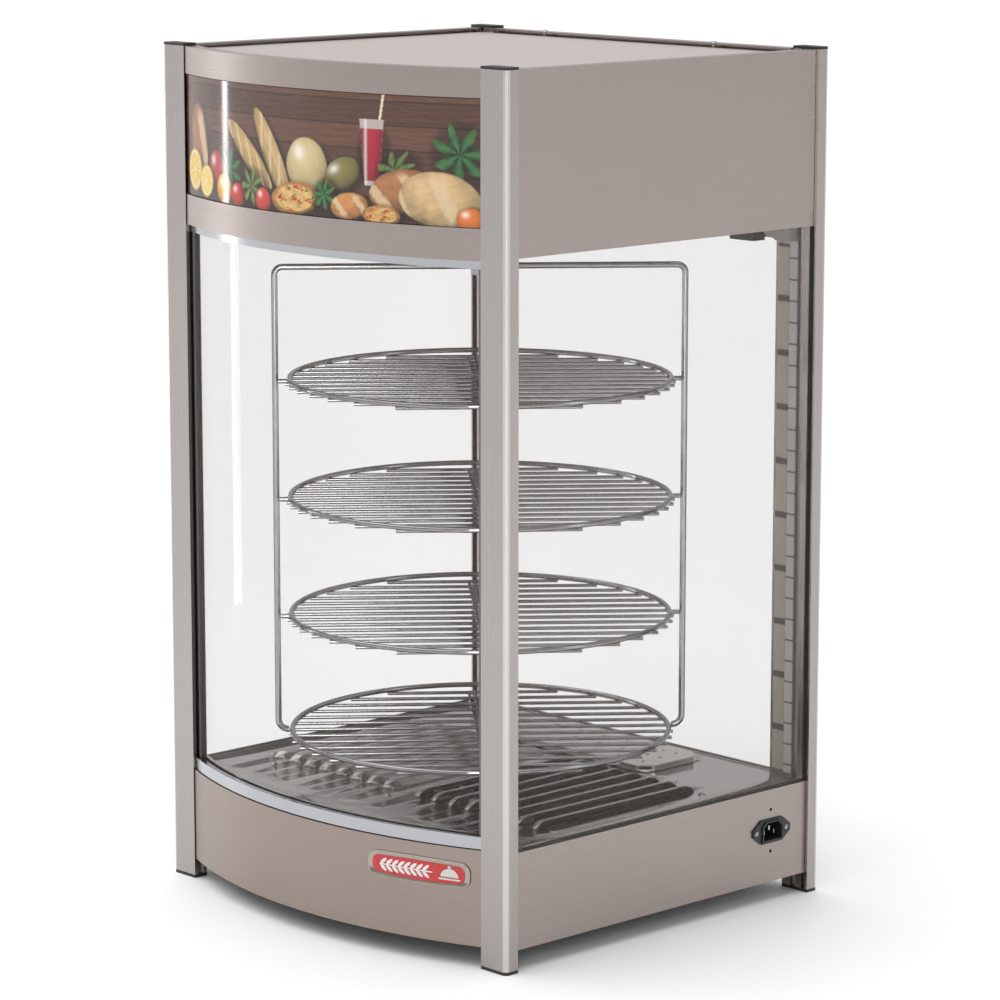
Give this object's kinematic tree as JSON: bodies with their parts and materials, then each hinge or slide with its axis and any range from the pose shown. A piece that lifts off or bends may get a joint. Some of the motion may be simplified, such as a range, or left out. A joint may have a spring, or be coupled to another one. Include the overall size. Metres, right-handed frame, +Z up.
{
  "type": "hot food display case",
  "caption": "Countertop heated display case with a bowed glass front, a turning rack of round wire grids, a hinged glass rear door, a vented floor and a lit header.",
  "frame": {"origin": "on the table, below the middle of the case's box", "axes": "+Z up, -Y towards the bowed front, +X towards the right side seen from the front"},
  "size_m": [0.466, 0.4688, 0.795],
  "materials": {
    "aluminium_extrusion": "satin anodised aluminium extrusion",
    "black_plastic": "matt black moulded plastic",
    "brushed_stainless": "horizontally brushed stainless sheet",
    "bright_stainless": "bright rolled stainless sheet",
    "cover_sheet": "pale satin stainless sheet",
    "bright_trim": "bright anodised aluminium trim",
    "clear_glass": "clear tempered glass",
    "black_rubber": "black rubber seal",
    "printed_acrylic": "glossy acrylic with a printed picture of baked food",
    "badge_red": "red enamel with a steel rim",
    "chrome_wire": "chrome plated steel rod",
    "screw_steel": "zinc plated screw steel",
    "bronze": "sintered bronze",
    "motor_paint": "dark grey painted casing",
    "zinc_plate": "zinc plated steel",
    "lamp_white": "opal white diffuser",
    "strip_grey": "grey lamp strip with small lenses",
    "element_steel": "dark oxidised heater sheath",
    "fan_metal": "pressed aluminium",
    "black_gloss": "black gloss plastic",
    "rocker_red": "red translucent rocker",
    "rocker_white": "white rocker",
    "pin_brass": "nickel plated brass"
  },
  "bodies": {
    "case": {"post_front_left": "aluminium_extrusion", "post_front_right": "aluminium_extrusion", "post_rear_left": "aluminium_extrusion", "post_rear_right": "aluminium_extrusion", "post_top_caps": "black_plastic", "post_feet": "black_plastic", "front_fascia": "brushed_stainless", "fascia_badge": "badge_red", "base_panel_left": "brushed_stainless", "base_panel_right": "brushed_stainless", "base_panel_rear": "brushed_stainless", "bottom_plate": "zinc_plate", "floor_plate": "bright_stainless", "floor_screws": "screw_steel", "front_glass": "clear_glass", "glass_gaskets": "black_rubber", "side_glass_left": "clear_glass", "side_glass_right": "clear_glass", "lower_glass_trim": "bright_trim", "upper_glass_trim": "bright_trim", "header_top_strip": "brushed_stainless", "header_lower_strip": "brushed_stainless", "graphic_panel": "printed_acrylic", "header_panel_left": "brushed_stainless", "header_panel_right": "brushed_stainless", "header_panel_rear": "brushed_stainless", "top_cover": "cover_sheet", "case_screws": "screw_steel", "ceiling_plate": "bright_stainless", "shaft_bush": "bronze", "gear_motor": "motor_paint", "motor_bracket": "zinc_plate", "backlight_bar": "lamp_white", "interior_lamp": "lamp_white", "led_strips": "strip_grey", "strip_blocks": "strip_grey", "side_seals": "black_rubber", "water_pan": "bright_stainless", "heater_elements": "element_steel", "fan_motor": "motor_paint", "thermostat_body": "black_plastic", "switch_housings": "black_gloss", "inlet_body": "black_plastic", "inlet_pins": "pin_brass", "hinge_brackets": "zinc_plate", "door_catch": "black_plastic"},
    "rack": {"rack_frame": "chrome_wire", "grid_1": "chrome_wire", "grid_2": "chrome_wire", "grid_3": "chrome_wire", "grid_4": "chrome_wire", "drive_shaft": "screw_steel"},
    "door": {"door_frame": "aluminium_extrusion", "door_glass": "clear_glass", "door_handle": "chrome_wire"},
    "lid": {"pan_lid": "bright_stainless"},
    "fan": {"fan_impeller": "fan_metal"},
    "knob": {"thermostat_knob": "black_gloss"},
    "power_switch": {"power_rocker": "rocker_red"},
    "light_switch": {"light_rocker": "rocker_white"}
  },
  "joints": [
    {"name": "rack_spin", "type": "hinge", "parent": "case", "child": "rack", "pos_m": [0, -0.00737, 0.6], "axis": [0, 0, 1], "continuous": true},
    {"name": "door_swing", "type": "hinge", "parent": "case", "child": "door", "pos_m": [-0.2, 0.21638, 0.36], "axis": [0, 0, 1], "range_deg": [0, 110]},
    {"name": "lid_lift", "type": "slide", "parent": "case", "child": "lid", "axis": [0, 0, 1], "range_m": [0, 0.022]},
    {"name": "fan_spin", "type": "hinge", "parent": "case", "child": "fan", "pos_m": [0, -0.01137, 0.07], "axis": [0, 0, 1], "continuous": true},
    {"name": "knob_turn", "type": "hinge", "parent": "case", "child": "knob", "pos_m": [0.12, 0.21363, 0.058], "axis": [0, -1, 0], "range_deg": [0, 270]},
    {"name": "power_rock", "type": "hinge", "parent": "case", "child": "power_switch", "pos_m": [0.04, 0.20312, 0.058], "axis": [-1, 0, 0], "range_deg": [0, 12]},
    {"name": "light_rock", "type": "hinge", "parent": "case", "child": "light_switch", "pos_m": [0.07, 0.20312, 0.058], "axis": [-1, 0, 0], "range_deg": [0, 12]}
  ]
}
